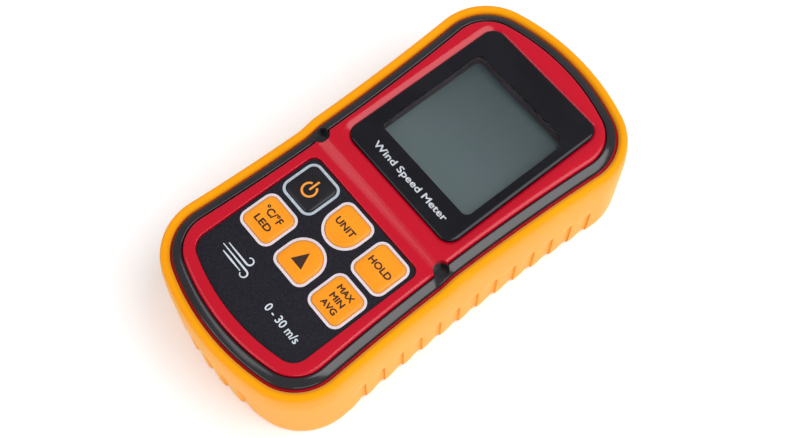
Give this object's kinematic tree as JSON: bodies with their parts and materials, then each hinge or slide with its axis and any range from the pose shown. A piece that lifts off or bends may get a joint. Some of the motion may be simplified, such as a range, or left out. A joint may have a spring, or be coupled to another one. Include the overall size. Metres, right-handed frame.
{
  "type": "handheld weather meter",
  "caption": "Handheld weather meter display unit: waisted case with a square display and a keypad, in a soft holster boot with a socket for a wind probe.",
  "frame": {"origin": "middle of the footprint, on the surface that the meter lies on", "axes": "+Y towards the display and probe end, +Z out of the display, +X to the right of someone reading it"},
  "size_m": [0.083, 0.161, 0.037],
  "materials": {
    "boot_rubber": "soft satin moulded rubber",
    "case_red": "gloss moulded red",
    "trim_black": "high gloss",
    "display_window": "clear acrylic with a black printed border",
    "label_black": "fine speckled matt film",
    "key_black": "satin black with a pale ring",
    "key_orange": "satin orange with a white ring",
    "switch_black": "matt",
    "board_green": "solder mask",
    "component_black": "matt",
    "lcd_grey": "grey-green unlit display",
    "diffuser_white": "milky",
    "connector_rubber": "layered elastomer",
    "case_black": "fine texture",
    "cell_jacket": "printed jacket, plain",
    "steel": "nickel plated"
  },
  "bodies": {
    "case": {"holster_boot": "boot_rubber", "front_shell": "case_red", "bezel_trim": "trim_black", "display_lens": "display_window", "keypad_label": "label_black", "switch_power": "switch_black", "switch_unit": "switch_black", "switch_hold": "switch_black", "switch_temperature_light": "switch_black", "switch_up": "switch_black", "switch_max_min": "switch_black", "main_board": "board_green", "processor_chip": "component_black", "crystal_can": "steel", "buzzer": "component_black", "lcd_glass": "lcd_grey", "lcd_frame": "component_black", "backlight_panel": "diffuser_white", "lcd_connector_strip": "connector_rubber", "probe_socket": "component_black", "probe_socket_sleeve": "steel", "rear_shell": "case_black", "battery_cell_1": "cell_jacket", "battery_cell_2": "cell_jacket", "battery_cell_3": "cell_jacket", "battery_spring_1": "steel", "battery_spring_2": "steel", "battery_spring_3": "steel", "contact_positive": "steel", "contact_negative": "steel", "contact_bridge_tail": "steel", "contact_bridge_head": "steel", "case_screw_1": "steel", "case_screw_2": "steel", "case_screw_3": "steel", "case_screw_4": "steel", "board_screw_1": "steel", "board_screw_2": "steel", "board_screw_3": "steel", "board_screw_4": "steel"},
    "key_power": {"key_power": "key_black"},
    "key_unit": {"key_unit": "key_orange"},
    "key_hold": {"key_hold": "key_orange"},
    "key_temperature_light": {"key_temperature_light": "key_orange"},
    "key_up": {"key_up": "key_orange"},
    "key_max_min": {"key_max_min": "key_orange"},
    "battery_door": {"battery_door": "case_black"}
  },
  "joints": [
    {"name": "press_power", "type": "slide", "parent": "case", "child": "key_power", "axis": [0, 0, -1], "range_m": [0, 0.0004], "stiffness_N_per_m": 2500, "springref_m": -0.0002},
    {"name": "press_unit", "type": "slide", "parent": "case", "child": "key_unit", "axis": [0, 0, -1], "range_m": [0, 0.0004], "stiffness_N_per_m": 2500, "springref_m": -0.0002},
    {"name": "press_hold", "type": "slide", "parent": "case", "child": "key_hold", "axis": [0, 0, -1], "range_m": [0, 0.0004], "stiffness_N_per_m": 2500, "springref_m": -0.0002},
    {"name": "press_temperature_light", "type": "slide", "parent": "case", "child": "key_temperature_light", "axis": [0, 0, -1], "range_m": [0, 0.0004], "stiffness_N_per_m": 2500, "springref_m": -0.0002},
    {"name": "press_up", "type": "slide", "parent": "case", "child": "key_up", "axis": [0, 0, -1], "range_m": [0, 0.0004], "stiffness_N_per_m": 2500, "springref_m": -0.0002},
    {"name": "press_max_min", "type": "slide", "parent": "case", "child": "key_max_min", "axis": [0, 0, -1], "range_m": [0, 0.0004], "stiffness_N_per_m": 2500, "springref_m": -0.0002},
    {"name": "door_swing", "type": "hinge", "parent": "case", "child": "battery_door", "pos_m": [0, -0.0544, 0.0028], "axis": [-1, 0, 0], "range_deg": [0, 75]}
  ]
}
